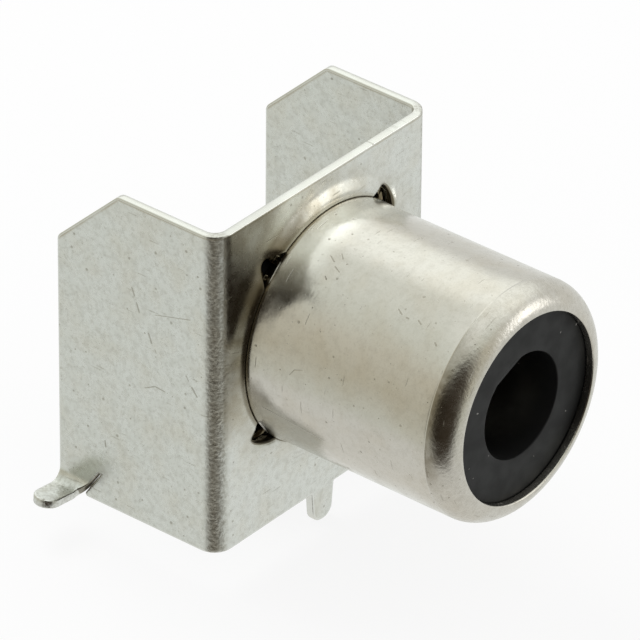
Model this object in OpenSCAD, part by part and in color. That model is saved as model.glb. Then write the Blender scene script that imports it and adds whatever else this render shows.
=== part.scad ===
// Right-angle phono (RCA) socket for a circuit board, with its barrel through a panel.
// +X is to the right along the front plate, +Y is backwards, +Z is up.
// The origin is on the board plane, midway along the front plate's front face.
// Lengths are in millimetres and angles in degrees.

/* [Folded bracket] */
// Width over the two side plates
bracket_w = 10.7; // [10.7:0.1:14]
// Height of the plates above the board
bracket_h = 12; // [11.7:0.1:15]
// Depth of the side plates, from the front face
bracket_d = 6.7; // [5.8:0.1:9]
// Thickness of the bracket's sheet
sheet_t = 0.3; // [0.25:0.05:0.4]
// Outside radius of the two upright bends
bend_r = 0.7; // [0.5:0.05:0.9]
// Height of the cut on each side plate's upper rear corner
corner_cut_h = 2.45; // [1:0.05:4]
// Depth of the cut on each side plate's upper rear corner
corner_cut_d = 2.55; // [1:0.05:3.5]
// Rounding of the side plates' upper rear corners
corner_r = 0.35; // [0.1:0.05:0.5]

/* [Board legs] */
// Width of the front leg where it leaves the plate
front_leg_w = 1.12; // [0.8:0.02:1.6]
// Width of the front leg near its tip
front_leg_tip_w = 0.9; // [0.5:0.05:1.4]
// Length of the front leg below the board plane
front_leg_len = 1.22; // [0.8:0.02:3.5]
// Width of each side leg
side_leg_w = 0.95; // [0.7:0.05:1.4]
// Reach of each side leg beyond its plate
side_leg_reach = 1.6; // [1.2:0.05:2.6]
// Upward tilt of each side leg
side_leg_tilt = 6; // [0:1:12]
// Inside radius of the bend at each side leg's root
side_leg_bend_r = 0.4; // [0.25:0.05:0.5]
// Height of the lanced cut beside each side leg
lance_h = 1.1; // [0.8:0.05:1.5]
// Forward slant of the lanced cut over its height
lance_run = 0.75; // [0.2:0.05:1]
// Width of the lanced cut
lance_w = 0.06; // [0.04:0.01:0.12]

/* [Collar and opening] */
// Height of the barrel's axis above the board
axis_h = 6.6; // [6.4:0.1:6.8]
// Rise of the plate round the opening
collar_rise = 0.22; // [0.1:0.02:0.3]
// Width of the raised collar
collar_w = 0.6; // [0.4:0.05:0.65]
// Direction of the two upper relief notches, up from the sides
notch_up = 49; // [30:1:60]
// Direction of the two lower relief notches, down from the sides
notch_down = 41; // [30:1:60]
// Diameter of the relief notches
notch_d = 1.05; // [0.8:0.05:1.3]

/* [Barrel] */
// Outside diameter of the barrel
barrel_d = 8.3; // [8:0.05:8.4]
// Length of the barrel in front of the plate
barrel_len = 8.4; // [7.5:0.1:12]
// Wall of the barrel
barrel_wall = 0.3; // [0.25:0.05:0.4]
// Outside radius of the rolled front rim
rim_r = 0.95; // [0.7:0.05:1.1]
// Diameter of the opening inside the front lip
lip_d = 6.6; // [6:0.05:6.8]
// Step from the barrel in to its neck, which passes through the plate
neck_step = 0.05; // [0.03:0.01:0.08]
// Taper of the neck towards its tabs
neck_taper = 0.04; // [0.02:0.01:0.06]
// Step of the bead where the barrel meets the collar
bead_step = 0.1; // [0.07:0.01:0.14]
// Length of the bead along the barrel
bead_len = 0.3; // [0.15:0.05:0.5]
// Reach of the turned-out tabs beyond the barrel
tab_reach = 0.45; // [0.3:0.05:0.45]

/* [Insulator] */
// Diameter of the plug hole in the front face
plug_hole_d = 3.7; // [3.5:0.05:3.75]
// Depth of the plug hole before the contact's seat
plug_hole_depth = 2.4; // [1:0.1:2.6]
// Distance from the axis to the flat edge of the ledge in the plug hole
ledge_edge = 1.66; // [1.64:0.01:1.7]
// Direction of the ledge from the hole's centre, turned from the +X side
ledge_turn = 112; // [90:1:135]
// Depth of the ledge below the front face
ledge_depth = 0.15; // [0.05:0.05:0.5]
// Diameter of the flange behind the tabs
flange_d = 9.8; // [9.2:0.1:9.9]
// Height over the flats on the flange's top and bottom
flange_flats = 8.2; // [7.8:0.1:8.4]
// Thickness of the flange
flange_t = 0.8; // [0.5:0.1:1.2]
// Diameter of the rear hub
hub_d = 5.2; // [4.8:0.1:6.5]
// Length of the rear hub behind the flange
hub_len = 1.35; // [0.8:0.05:1.6]

/* [Centre contact] */
// Inside diameter of the rolled sleeve
sleeve_bore_d = 3.2; // [3.1:0.02:3.24]
// Length of the rolled sleeve
sleeve_len = 5; // [4:0.1:5.5]
// Thickness of the contact's strip
strip_t = 0.3; // [0.28:0.02:0.36]
// Width of the seam along the sleeve
seam_w = 0.25; // [0.1:0.05:0.6]
// Width of the slots between the sleeve's fingers
finger_slot_w = 0.4; // [0.2:0.05:0.6]
// Length of the slots between the sleeve's fingers
finger_slot_len = 3; // [1.5:0.1:3.5]
// Width of the solder tail
tail_w = 1.2; // [0.8:0.05:1.6]
// Width of the solder tail near its tip
tail_tip_w = 0.8; // [0.5:0.05:1.4]
// Inside radius of the tail's bend
tail_bend_r = 0.3; // [0.2:0.05:0.5]
// Length of the solder tail below the board plane
tail_len = 1.22; // [0.8:0.02:3.5]

/* [Fits] */
// Clearance round the barrel's neck in the plate's opening
opening_gap = 0.05; // [0.02:0.01:0.06]
// Clearance between faces that seat on each other
seat_gap = 0.02; // [0.01:0.01:0.03]
// Clearance of the insulator in the barrel and of the contact in the insulator
bore_gap = 0.02; // [0.01:0.01:0.04]

/* [Hidden] */
$fn = 96;

// Overshoot of a cut past the face that it opens, and depth by which a node's own pieces merge
cut = 0.2;
// Steps on each rounded corner of a side plate, and steps across the collar
corner_steps = 6;
collar_steps = 12;

barrel_r = barrel_d / 2;
barrel_bore_r = barrel_r - barrel_wall;
neck_r = barrel_r - neck_step;
opening_r = neck_r + opening_gap;
collar_r = opening_r + collar_w;
tab_r = barrel_r + tab_reach;
lip_r = lip_d / 2;

// Centre of the rim's rounding, as a distance from the axis and a distance in front of the plate
rim_centre_r = barrel_r - rim_r;
rim_centre_z = barrel_len - rim_r;

// Distances in front of the plate's front face, so those behind it are negative
face_z = barrel_len - barrel_wall - bore_gap;
flange_z = rise(tab_r) - sheet_t - barrel_wall - 2 * seat_gap;
hub_back_z = flange_z - flange_t - hub_len;
seat_front_z = face_z - plug_hole_depth;
sleeve_front_z = seat_front_z - seat_gap;
sleeve_back_z = sleeve_front_z - sleeve_len;

sleeve_bore_r = sleeve_bore_d / 2;
sleeve_r = sleeve_bore_r + strip_t;
// Front end of the solder tail's strip, merged into the sleeve
tail_front_z = sleeve_back_z + cut;

// Height of the bend's centre at a side leg's root
leg_bend_z = side_leg_bend_r + sheet_t;
// Front edge of a side leg, and of its wider root, which the lanced cut frees
leg_front_y = bracket_d - side_leg_w;
lance_slant = lance_run / lance_h;
leg_root_y = leg_front_y - lance_slant * leg_bend_z;

// Forward rise of the front plate at a distance from the barrel's axis
function rise(r) =
    r >= collar_r ? 0
    : r <= opening_r ? collar_rise
    : collar_rise * (1 - cos(180 * (collar_r - r) / collar_w)) / 2;

// Radius of the barrel's neck, which tapers from the bead back to the tabs
function neck_at(z) =
    neck_r - neck_taper * (collar_rise + seat_gap - z) / (sheet_t + 2 * seat_gap);

// Distances from the axis, in equal steps from the opening's edge out to a limit
function across_collar(limit_r) =
    [for (i = [0:collar_steps]) opening_r + (limit_r - opening_r) * i / collar_steps];

// Points along an arc
function arc_points(centre, r, from, to) =
    [for (i = [0:corner_steps])
        let (a = from + (to - from) * i / corner_steps)
        centre + r * [cos(a), sin(a)]];

// Places its children on the barrel's axis, with +Z out of the front and z = 0 on the plate
module on_axis() {
    translate([0, 0, axis_h]) rotate([90, 0, 0]) children();
}

// Repeats its children at each notch's direction round the axis
module at_notches() {
    for (turn = [notch_up, 180 - notch_up, 180 + notch_down, -notch_down])
        rotate([0, 0, turn]) children();
}

// Flat wedge from the origin over a range of directions
module wedge(from, sweep, r) {
    polygon(concat([[0, 0]], [for (i = [0:8]) r * [cos(from + sweep * i / 8), sin(from + sweep * i / 8)]]));
}

// Leg seen from the front, from its root down to its round tip
module leg_outline(root_w, tip_w, root_z, tip_z) {
    tip_r = tip_w / 2;
    polygon([
        [-root_w / 2, root_z + cut], [-root_w / 2, root_z], [-tip_r, tip_z + tip_r],
        [tip_r, tip_z + tip_r], [root_w / 2, root_z], [root_w / 2, root_z + cut]]);
    translate([0, tip_z + tip_r]) circle(r = tip_r);
}

// Plan of a block with two rounded front corners, as far back as back_y
module fold_outline(half_w, front_y, back_y, r) {
    translate([-half_w, front_y + r]) square([2 * half_w, back_y - front_y - r]);
    translate([-half_w + r, front_y]) square([2 * (half_w - r), 2 * r]);
    for (side = [-1, 1]) translate([side * (half_w - r), front_y + r]) circle(r = r);
}

// Plan of the folded sheet: the front plate, two bends and two side plates
module fold_plan() {
    difference() {
        fold_outline(bracket_w / 2, 0, bracket_d, bend_r);
        fold_outline(bracket_w / 2 - sheet_t, sheet_t, bracket_d + cut, bend_r - sheet_t);
    }
}

// Side plates seen from the side, as Y and Z, with the cut on their upper rear corner
module side_view() {
    lean = atan2(corner_cut_h, corner_cut_d);
    low_z = bracket_h - corner_cut_h - corner_r * tan((90 - lean) / 2);
    high_y = bracket_d - corner_cut_d - corner_r * tan(lean / 2);
    polygon(concat(
        [[-1, 0], [bracket_d, 0]],
        arc_points([bracket_d - corner_r, low_z], corner_r, 0, 90 - lean),
        arc_points([high_y, bracket_h - corner_r], corner_r, 90 - lean, 90),
        [[-1, bracket_h]]));
}

// Raised ring round the opening
module collar_front() {
    rotate_extrude() polygon(concat(
        [for (r = across_collar(collar_r)) [r, rise(r)]],
        [[collar_r, -sheet_t / 2], [opening_r, -sheet_t / 2]]));
}

// Hollow behind the raised ring, which keeps the sheet's thickness there
module collar_back() {
    rotate_extrude() polygon(concat(
        [for (r = across_collar(collar_r)) [r, rise(r) - sheet_t]],
        [[opening_r, -sheet_t]]));
}

// Hole for the barrel, with relief notches in its edge
module opening() {
    depth = sheet_t + collar_rise + 2 * cut;
    translate([0, 0, -sheet_t - cut]) {
        cylinder(r = opening_r, h = depth);
        at_notches() translate([barrel_r, 0, 0]) cylinder(d = notch_d, h = depth);
    }
}

module front_leg() {
    translate([0, sheet_t, 0]) rotate([90, 0, 0])
        linear_extrude(sheet_t) leg_outline(front_leg_w, front_leg_tip_w, 0, -front_leg_len);
}

// Section of a side leg, outward from its plate's inner face: plate, bend and tongue
module side_leg_section() {
    outer_r = side_leg_bend_r + sheet_t;
    translate([0, leg_bend_z]) square([sheet_t, cut]);
    translate([outer_r, leg_bend_z]) {
        intersection() {
            difference() {
                circle(r = outer_r);
                circle(r = side_leg_bend_r);
            }
            wedge(180, 90 + side_leg_tilt, 2 * outer_r);
        }
        rotate([0, 0, side_leg_tilt]) translate([0, -outer_r]) square([2 * side_leg_reach, sheet_t]);
    }
}

// Plan of a side leg: a wide root that narrows to the tongue, and the tongue's round tip
module side_leg_plan() {
    tip_r = side_leg_w / 2;
    tip_x = sheet_t + side_leg_reach - tip_r;
    polygon([
        [0, leg_root_y], [sheet_t, leg_root_y], [2 * sheet_t + side_leg_bend_r / 2, leg_front_y],
        [tip_x, leg_front_y], [tip_x, bracket_d], [0, bracket_d]]);
    translate([tip_x, leg_front_y + tip_r]) circle(r = tip_r);
}

module side_leg() {
    translate([bracket_w / 2 - sheet_t, 0, 0]) intersection() {
        translate([0, bracket_d + cut, 0]) rotate([90, 0, 0])
            linear_extrude(bracket_d) side_leg_section();
        translate([0, 0, -cut]) linear_extrude(bracket_h) side_leg_plan();
    }
}

// Cut in a side plate: the slanting lance, and the corner that turns out as the leg
module side_leg_cut() {
    low_y = leg_front_y + lance_slant * cut;
    high_y = leg_front_y - lance_run;
    rotate([90, 0, 90]) linear_extrude(bracket_w)
        polygon([
            [low_y - lance_w, -cut], [high_y - lance_w, lance_h], [high_y, lance_h],
            [leg_root_y, leg_bend_z], [bracket_d + cut, leg_bend_z], [bracket_d + cut, -cut]]);
}

module bracket() {
    color("#BDBCB3") {
        difference() {
            union() {
                intersection() {
                    linear_extrude(bracket_h) fold_plan();
                    translate([-bracket_w, 0, 0]) rotate([90, 0, 90])
                        linear_extrude(2 * bracket_w) side_view();
                }
                on_axis() collar_front();
            }
            on_axis() collar_back();
            on_axis() opening();
            side_leg_cut();
            mirror([1, 0, 0]) side_leg_cut();
        }
        front_leg();
        side_leg();
        mirror([1, 0, 0]) side_leg();
    }
}

// Half section of a round-nosed solid that lies a given distance inside the barrel's outside
module nosed_section(inset, back_z) {
    nose_r = rim_r - inset;
    translate([0, back_z]) {
        square([barrel_r - inset, rim_centre_z - back_z]);
        square([rim_centre_r, barrel_len - inset - back_z]);
    }
    translate([rim_centre_r, rim_centre_z]) circle(r = nose_r);
}

// Half section of the turned-out tabs, which follow the hollow behind the collar
module tab_section() {
    spread = across_collar(tab_r);
    front_gap = sheet_t + seat_gap;
    back_gap = front_gap + barrel_wall;
    tab_front = collar_rise - front_gap;
    polygon(concat(
        [[barrel_bore_r, -sheet_t / 2], [neck_at(-sheet_t / 2), -sheet_t / 2]],
        [[neck_at(tab_front), tab_front]],
        [for (r = spread) [r, rise(r) - front_gap]],
        [for (i = [collar_steps:-1:0]) [spread[i], rise(spread[i]) - back_gap]],
        [[barrel_bore_r, collar_rise - back_gap]]));
}

module barrel() {
    bead_z = collar_rise + seat_gap;
    tab_depth = sheet_t + barrel_wall + 2 * seat_gap;
    color("#C9C8BF") on_axis() {
        rotate_extrude() {
            difference() {
                nosed_section(0, bead_z);
                nosed_section(barrel_wall, -sheet_t);
                square([lip_r, barrel_len + cut]);
            }
            polygon([
                [barrel_bore_r, -sheet_t / 2], [neck_at(-sheet_t / 2), -sheet_t / 2],
                [neck_r, bead_z], [barrel_r + bead_step, bead_z],
                [barrel_r, bead_z + bead_len], [barrel_bore_r, bead_z + bead_len]]);
        }
        difference() {
            rotate_extrude() tab_section();
            at_notches() translate([barrel_bore_r / 2, -notch_d / 2, -tab_depth - cut])
                cube([tab_r, notch_d, tab_depth + cut - sheet_t / 2]);
        }
    }
}

// Part of the plug hole that a ledge with a flat edge fills
module ledge() {
    rotate([0, 0, ledge_turn]) translate([ledge_edge, -plug_hole_d / 2, seat_front_z])
        cube([plug_hole_d, plug_hole_d, plug_hole_depth - ledge_depth]);
}

module insulator() {
    seat_r = sleeve_r + bore_gap;
    color("#2B2B2D") on_axis() difference() {
        union() {
            rotate_extrude() intersection() {
                nosed_section(barrel_wall + bore_gap, flange_z - cut);
                translate([0, flange_z - cut]) square([barrel_r, barrel_len - flange_z]);
            }
            translate([0, 0, flange_z - flange_t]) linear_extrude(flange_t) intersection() {
                circle(d = flange_d);
                square([flange_d, flange_flats], center = true);
            }
            translate([0, 0, hub_back_z]) cylinder(d = hub_d, h = hub_len + cut);
        }
        translate([0, 0, hub_back_z - cut]) cylinder(r = seat_r, h = seat_front_z - hub_back_z + cut);
        translate([-tail_w / 2 - bore_gap, -seat_r, hub_back_z - cut])
            cube([tail_w + 2 * bore_gap, seat_r, tail_front_z + seat_gap - hub_back_z + cut]);
        difference() {
            translate([0, 0, seat_front_z - cut]) cylinder(d = plug_hole_d, h = plug_hole_depth + 2 * cut);
            ledge();
        }
    }
}

// Strip rolled into a tube, with a seam on top and a slot on either side at the front
module sleeve() {
    on_axis() difference() {
        translate([0, 0, sleeve_back_z]) cylinder(r = sleeve_r, h = sleeve_len);
        translate([0, 0, sleeve_back_z - cut]) cylinder(r = sleeve_bore_r, h = sleeve_len + 2 * cut);
        translate([-seam_w / 2, 0, sleeve_back_z - cut]) cube([seam_w, 2 * sleeve_r, sleeve_len + 2 * cut]);
        translate([-2 * sleeve_r, -finger_slot_w / 2, sleeve_front_z - finger_slot_len])
            cube([4 * sleeve_r, finger_slot_w, finger_slot_len + cut]);
    }
}

// Strip that runs back from the sleeve's underside, turns down and ends below the board plane
module solder_tail() {
    bend_y = seat_gap - hub_back_z;
    blade_y = bend_y + tail_bend_r;
    bend_z = axis_h - sleeve_r - tail_bend_r;
    intersection() {
        translate([-tail_w / 2, 0, 0]) rotate([90, 0, 90]) linear_extrude(tail_w) {
            translate([-tail_front_z, bend_z + tail_bend_r]) square([bend_y + tail_front_z, strip_t]);
            translate([bend_y, bend_z]) intersection() {
                difference() {
                    circle(r = tail_bend_r + strip_t);
                    circle(r = tail_bend_r);
                }
                square(tail_bend_r + strip_t);
            }
            translate([blade_y, -tail_len]) square([strip_t, bend_z + tail_len]);
        }
        translate([0, blade_y + strip_t, 0]) rotate([90, 0, 0])
            linear_extrude(blade_y + strip_t + tail_front_z) {
                leg_outline(tail_w, tail_tip_w, tail_w, -tail_len);
                translate([-tail_w / 2, tail_w]) square([tail_w, axis_h]);
            }
    }
}

module centre_contact() {
    color("#B9A878") {
        sleeve();
        solder_tail();
    }
}

bracket();
barrel();
insulator();
centre_contact();
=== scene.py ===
import math

import bmesh
import bpy
import numpy as np
from mathutils import Matrix, Vector
from mathutils.geometry import delaunay_2d_cdt


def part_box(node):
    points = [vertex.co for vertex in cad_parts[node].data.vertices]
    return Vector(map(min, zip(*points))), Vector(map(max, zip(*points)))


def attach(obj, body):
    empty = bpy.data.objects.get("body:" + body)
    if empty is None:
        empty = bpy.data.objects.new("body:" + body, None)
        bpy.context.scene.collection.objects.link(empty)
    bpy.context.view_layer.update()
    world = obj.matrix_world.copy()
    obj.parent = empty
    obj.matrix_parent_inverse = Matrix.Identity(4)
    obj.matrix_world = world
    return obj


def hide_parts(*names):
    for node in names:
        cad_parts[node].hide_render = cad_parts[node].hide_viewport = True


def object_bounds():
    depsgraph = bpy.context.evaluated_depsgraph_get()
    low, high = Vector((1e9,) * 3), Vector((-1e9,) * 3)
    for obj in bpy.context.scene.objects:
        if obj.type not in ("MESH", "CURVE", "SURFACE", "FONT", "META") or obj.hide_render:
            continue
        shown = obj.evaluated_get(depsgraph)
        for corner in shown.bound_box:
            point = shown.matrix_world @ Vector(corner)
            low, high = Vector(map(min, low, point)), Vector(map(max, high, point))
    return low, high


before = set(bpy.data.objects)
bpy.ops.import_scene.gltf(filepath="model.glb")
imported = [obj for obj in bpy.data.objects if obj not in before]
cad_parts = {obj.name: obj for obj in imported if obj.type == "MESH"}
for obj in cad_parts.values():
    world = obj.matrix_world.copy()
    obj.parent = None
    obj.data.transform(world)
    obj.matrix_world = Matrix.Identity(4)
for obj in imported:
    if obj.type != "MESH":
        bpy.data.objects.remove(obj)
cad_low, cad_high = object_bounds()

# Shapes are worked out in millimetres and scaled by this as each mesh is made
MM = 0.001


def box_mm(node):
    """Lowest and highest corner of a node, in millimetres."""
    low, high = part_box(node)
    return low / MM, high / MM


bracket_low, bracket_high = box_mm("bracket")
barrel_low, barrel_high = box_mm("barrel")
insulator_low, insulator_high = box_mm("insulator")
contact_low, contact_high = box_mm("centre_contact")

# Folded bracket
SHEET_T = 0.3
BEND_R = 0.7
PLATE_W = 10.7
PLATE_H = bracket_high.z
PLATE_D = bracket_high.y
CORNER_CUT_H = 2.45
CORNER_CUT_D = 2.55
CORNER_R = 0.35
BEND_ARC = BEND_R * math.pi / 2
HALF_FLAT = PLATE_W / 2 - BEND_R

# Legs of the bracket
FRONT_LEG_W = 1.12
FRONT_LEG_TIP_W = 0.9
SIDE_LEG_W = 0.95
SIDE_LEG_TILT = math.radians(6)
SIDE_LEG_BEND_R = 0.4
LANCE_H = 1.1
LANCE_RUN = 0.75
LANCE_W = 0.06
LEG_BEND_Z = SIDE_LEG_BEND_R + SHEET_T

# Barrel, with heights measured forward of the front plate
AXIS_H = (barrel_low.z + barrel_high.z) / 2
BARREL_R = 4.15
BARREL_WALL = 0.3
BORE_R = BARREL_R - BARREL_WALL
NECK_R = BARREL_R - 0.05
RIM_R = 0.95
RIM_CENTRE_R = BARREL_R - RIM_R
LIP_R = 3.3
FLARE = 0.035
FLARE_H = 0.9
BEAD_LIP = 0.03
RIM_CREASE = 0.014
BARREL_LEN = -barrel_low.y + RIM_R - math.sqrt(RIM_R**2 - (LIP_R - RIM_CENTRE_R) ** 2)
RIM_CENTRE_H = BARREL_LEN - RIM_R
TAB_R = barrel_high.x
TAB_HALF_GAP = 0.22

# Collar and opening in the front plate
OPENING_R = NECK_R + 0.05
COLLAR_RISE = -bracket_low.y
COLLAR_W = 0.6
COLLAR_R = OPENING_R + COLLAR_W
SWELL_W = 0.95
SWELL_FLAT_W = 0.2
SWELL_POWER = 1.3
LIP_CURL = 0.06
LIP_CURL_W = 0.2
LIP_NOTCH_GAIN = 1.6
NOTCH_DEPTH = 0.5
NOTCH_HALF_ANGLE = math.radians(9.5)
NOTCH_POWER = 1.2
NOTCH_TURNS = [math.radians(turn) for turn in (49, 131, 221, 319)]

# Insulator
FACE_H = -insulator_low.y
PLUG_HOLE_R = 1.85
LEDGE_EDGE = 1.66
LEDGE_TURN = math.radians(112)
LEDGE_DEPTH = 0.07
FLANGE_R = insulator_high.x
FLANGE_HALF_FLATS = (insulator_high.z - insulator_low.z) / 2
HUB_R = 2.6
FLANGE_T = 0.8
HUB_LEN = 1.35

# Centre contact
STRIP_T = 0.3
SLEEVE_R = contact_high.x
SLEEVE_FRONT_H = -contact_low.y
SLEEVE_LEN = 5.0
SEAM_W = 0.25
FINGER_SLOT_W = 0.4
FINGER_SLOT_LEN = 3.0
TAIL_W = 1.2
TAIL_TIP_W = 0.8
TAIL_BEND_R = 0.3
SLEEVE_EASE_LEN = 0.9

# Fits and edges
SEAT_GAP = 0.02
EDGE_R = 0.045
EDGE_STEPS = 3
SUPPORT = 0.03

# Middle of the contact's strip round the sleeve, and where its tail starts to bend
SLEEVE_MID_R = SLEEVE_R - STRIP_T / 2
TAIL_BEND_V = -(insulator_high.y + SEAT_GAP)

# Meshes: steps between points, points round a ring, and points that count as one
OUTLINE_STEP = 0.1
STRIP_STEP = 0.12
WIDE_STEP = 0.7
RING_POINTS = 240
MERGE_GAP = 1e-4 * MM
DEGENERATE_GAP = 1e-5 * MM


def unit(vector):
    """Vector of length 1 in the same direction."""
    return vector / np.linalg.norm(vector)


def arc(centre, radius, start, end, steps):
    """Points along an arc, from one angle to another."""
    turns = np.linspace(start, end, steps + 1)
    return [(centre[0] + radius * math.cos(a), centre[1] + radius * math.sin(a)) for a in turns]


def rounded(corners, radii, steps=6):
    """Closed outline whose corners become arcs of the given radii."""
    corners = np.array(corners, float)
    points = []
    for i, (here, radius) in enumerate(zip(corners, radii)):
        if radius == 0:
            points.append(here)
            continue
        back = unit(corners[i - 1] - here)
        ahead = unit(corners[(i + 1) % len(corners)] - here)
        half = math.acos(np.clip(back @ ahead, -1, 1)) / 2
        centre = here + unit(back + ahead) * radius / math.sin(half)
        start = here + back * radius / math.tan(half) - centre
        end = here + ahead * radius / math.tan(half) - centre
        first = math.atan2(start[1], start[0])
        sweep = (math.atan2(end[1], end[0]) - first + math.pi) % (2 * math.pi) - math.pi
        points += arc(centre, radius, first, first + sweep, steps)
    return np.array(points)


def subdivided(loop, step):
    """Loop with its long edges cut into equal parts no longer than a step."""
    points = []
    for here, ahead in zip(loop, np.roll(loop, -1, axis=0)):
        parts = max(1, math.ceil(np.linalg.norm(ahead - here) / step))
        points += [here + (ahead - here) * k / parts for k in range(parts)]
    return np.array(points)


def inset(loop, distance):
    """Loop moved into the sheet, which lies on its left."""
    ahead = np.roll(loop, -1, axis=0) - loop
    ahead /= np.linalg.norm(ahead, axis=1)[:, None]
    normal = np.stack([-ahead[:, 1], ahead[:, 0]], axis=1)
    before = np.roll(normal, 1, axis=0)
    spread = np.maximum(1 + (normal * before).sum(axis=1), 0.4)
    return loop + distance * (normal + before) / spread[:, None]


def inside(points, loops):
    """Which points lie within the first loop and outside the others."""
    hits = np.zeros(len(points), int)
    for loop in loops:
        start, end = loop, np.roll(loop, -1, axis=0)
        rise = end[:, 1] - start[:, 1]
        slope = (end[:, 0] - start[:, 0]) / np.where(rise == 0, 1, rise)
        x, y = points[:, :1], points[:, 1:]
        crosses = (start[:, 1] > y) != (end[:, 1] > y)
        hits += (crosses & (x < start[:, 0] + (y - start[:, 1]) * slope)).sum(axis=1)
    return hits % 2 == 1


def clear_of(points, loops, distance):
    """The points that lie in the sheet, further than a distance from its edges."""
    points = points[inside(points, loops)]
    edge = np.concatenate(loops)
    keep = []
    for part in np.array_split(points, max(1, len(points) // 500)):
        gaps = np.linalg.norm(part[:, None] - edge[None], axis=2).min(axis=1)
        keep.append(part[gaps > distance])
    return np.concatenate(keep)


def make_piece(name, points, faces, corner_uv, edge, node, slot_name, material):
    """Mesh object in the row frame that stands for a CAD node.

    edge gives, for each face, 1 on a cut edge painted lighter as a highlight, -1 on one painted dark as
    shade and 0 elsewhere."""
    mesh = bpy.data.meshes.new(name)
    mesh.from_pydata((np.array(points) * MM).tolist(), [], faces)
    layer = mesh.uv_layers.new(name="flat")
    layer.data.foreach_set("uv", np.array(corner_uv, np.float32).ravel())
    mesh.attributes.new("edge", "FLOAT", "FACE").data.foreach_set("value", np.array(edge, np.float32))
    work = bmesh.new()
    work.from_mesh(mesh)
    bmesh.ops.remove_doubles(work, verts=work.verts, dist=MERGE_GAP)
    bmesh.ops.dissolve_degenerate(work, dist=DEGENERATE_GAP, edges=work.edges)
    bmesh.ops.recalc_face_normals(work, faces=work.faces)
    work.to_mesh(mesh)
    work.free()
    mesh.polygons.foreach_set("use_smooth", [True] * len(mesh.polygons))
    mesh.materials.append(material)
    piece = bpy.data.objects.new(name, mesh)
    bpy.context.scene.collection.objects.link(piece)
    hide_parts(node)
    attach(piece, "root")
    return piece


def edge_rows(thickness):
    """Shift into the sheet and depth of each row of points across its rounded edges."""
    turns = np.linspace(0, math.pi / 2, EDGE_STEPS + 1)
    lip = [(EDGE_R * (1 - math.sin(a)), EDGE_R * (1 - math.cos(a))) for a in turns]
    rows = [(EDGE_R + SUPPORT, 0)] + lip
    return rows + [(shift, thickness - depth) for shift, depth in reversed(rows)]


def loop_edges(loops):
    """Pairs of neighbours along loops whose points are numbered in one run."""
    edges, start = [], 0
    for loop in loops:
        edges += [(start + k, start + (k + 1) % len(loop)) for k in range(len(loop))]
        start += len(loop)
    return edges


def face_triangles(flat, edges, holes):
    """Triangles that fill the sheet's face, all turned one way, with none in its holes."""
    only_inside, same_point = 1, 1e-6
    found = delaunay_2d_cdt([Vector(p) for p in flat], edges, [], only_inside, same_point)
    source = [group[0] for group in found[3]]
    triangles = np.array([[source[k] for k in face] for face in found[2]])
    corners = flat[triangles]
    first, second = corners[:, 1] - corners[:, 0], corners[:, 2] - corners[:, 0]
    backward = first[:, 0] * second[:, 1] - first[:, 1] * second[:, 0] < 0
    triangles[backward] = triangles[backward][:, ::-1]
    return triangles[~inside(flat[triangles].mean(axis=1), holes)]


def sheet_metal(loops, seeds, place, thickness):
    """Closed mesh of a sheet with rounded edges: points, faces, flat places and edge marks.

    place(flat, depth) gives the points in space of flat points at depths below the outer face."""
    rows = edge_rows(thickness)[1:-1]
    face_loops = [inset(loop, EDGE_R + SUPPORT) for loop in loops]
    flat = np.concatenate(face_loops + [clear_of(seeds, face_loops, 2 * SUPPORT)])
    edges = loop_edges(loops)
    triangles = face_triangles(flat, edges, face_loops[1:])

    # Outer face, then the rows between the two faces, then the inner face
    between = [np.concatenate([inset(loop, shift) for loop in loops]) for shift, _ in rows]
    flats = [flat] + between + [flat]
    depths = [0] + [depth for _, depth in rows] + [thickness]
    points = np.concatenate([place(f, np.full(len(f), d)) for f, d in zip(flats, depths)])
    starts = np.cumsum([0] + [len(f) for f in flats])
    faces = triangles.tolist() + (triangles[:, ::-1] + starts[-2]).tolist()
    for upper, lower in zip(starts[:-2], starts[1:-1]):
        faces += [(upper + a, lower + a, lower + b, upper + b) for a, b in edges]
    places = np.concatenate(flats)
    uv = np.concatenate([places[list(face)] for face in faces])
    edge = [0.0] * (2 * len(triangles)) + [1.0] * (len(faces) - 2 * len(triangles))
    return points, faces, uv, edge


def grid(columns, rows):
    """Every pairing of the columns with the rows, as points."""
    return np.stack(np.meshgrid(columns, rows), axis=-1).reshape(-1, 2)


def rise(radius):
    """Forward rise of the front plate round the opening."""
    share = np.clip((COLLAR_R - radius) / COLLAR_W, 0, 1)
    return COLLAR_RISE * (1 - np.cos(math.pi * share)) / 2


def swell(radius):
    """Forward rise of the plate as it shows: the collar, with a soft slope outside it."""
    share = np.clip((OPENING_R + SWELL_W - radius) / (SWELL_W - SWELL_FLAT_W), 0, 1)
    return COLLAR_RISE * (1 - np.cos(math.pi * share**SWELL_POWER)) / 2


def notch_share(turn):
    """How far into a notch a direction lies: 1 at its middle and 0 between the notches."""
    share = np.zeros(np.shape(turn))
    for notch in NOTCH_TURNS:
        away = (turn - notch + math.pi) % (2 * math.pi) - math.pi
        near = np.clip(1 - np.abs(away) / NOTCH_HALF_ANGLE, 0, 1)
        share += np.sin(math.pi / 2 * near) ** NOTCH_POWER
    return share


def opening_outline():
    """Edge of the opening, with its notches, in the direction that keeps the plate on its left."""
    turns = np.linspace(2 * math.pi, 0, 2 * RING_POINTS, endpoint=False)
    radius = OPENING_R + NOTCH_DEPTH * notch_share(turns)
    return np.stack([radius * np.cos(turns), AXIS_H + radius * np.sin(turns)], axis=1)


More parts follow.
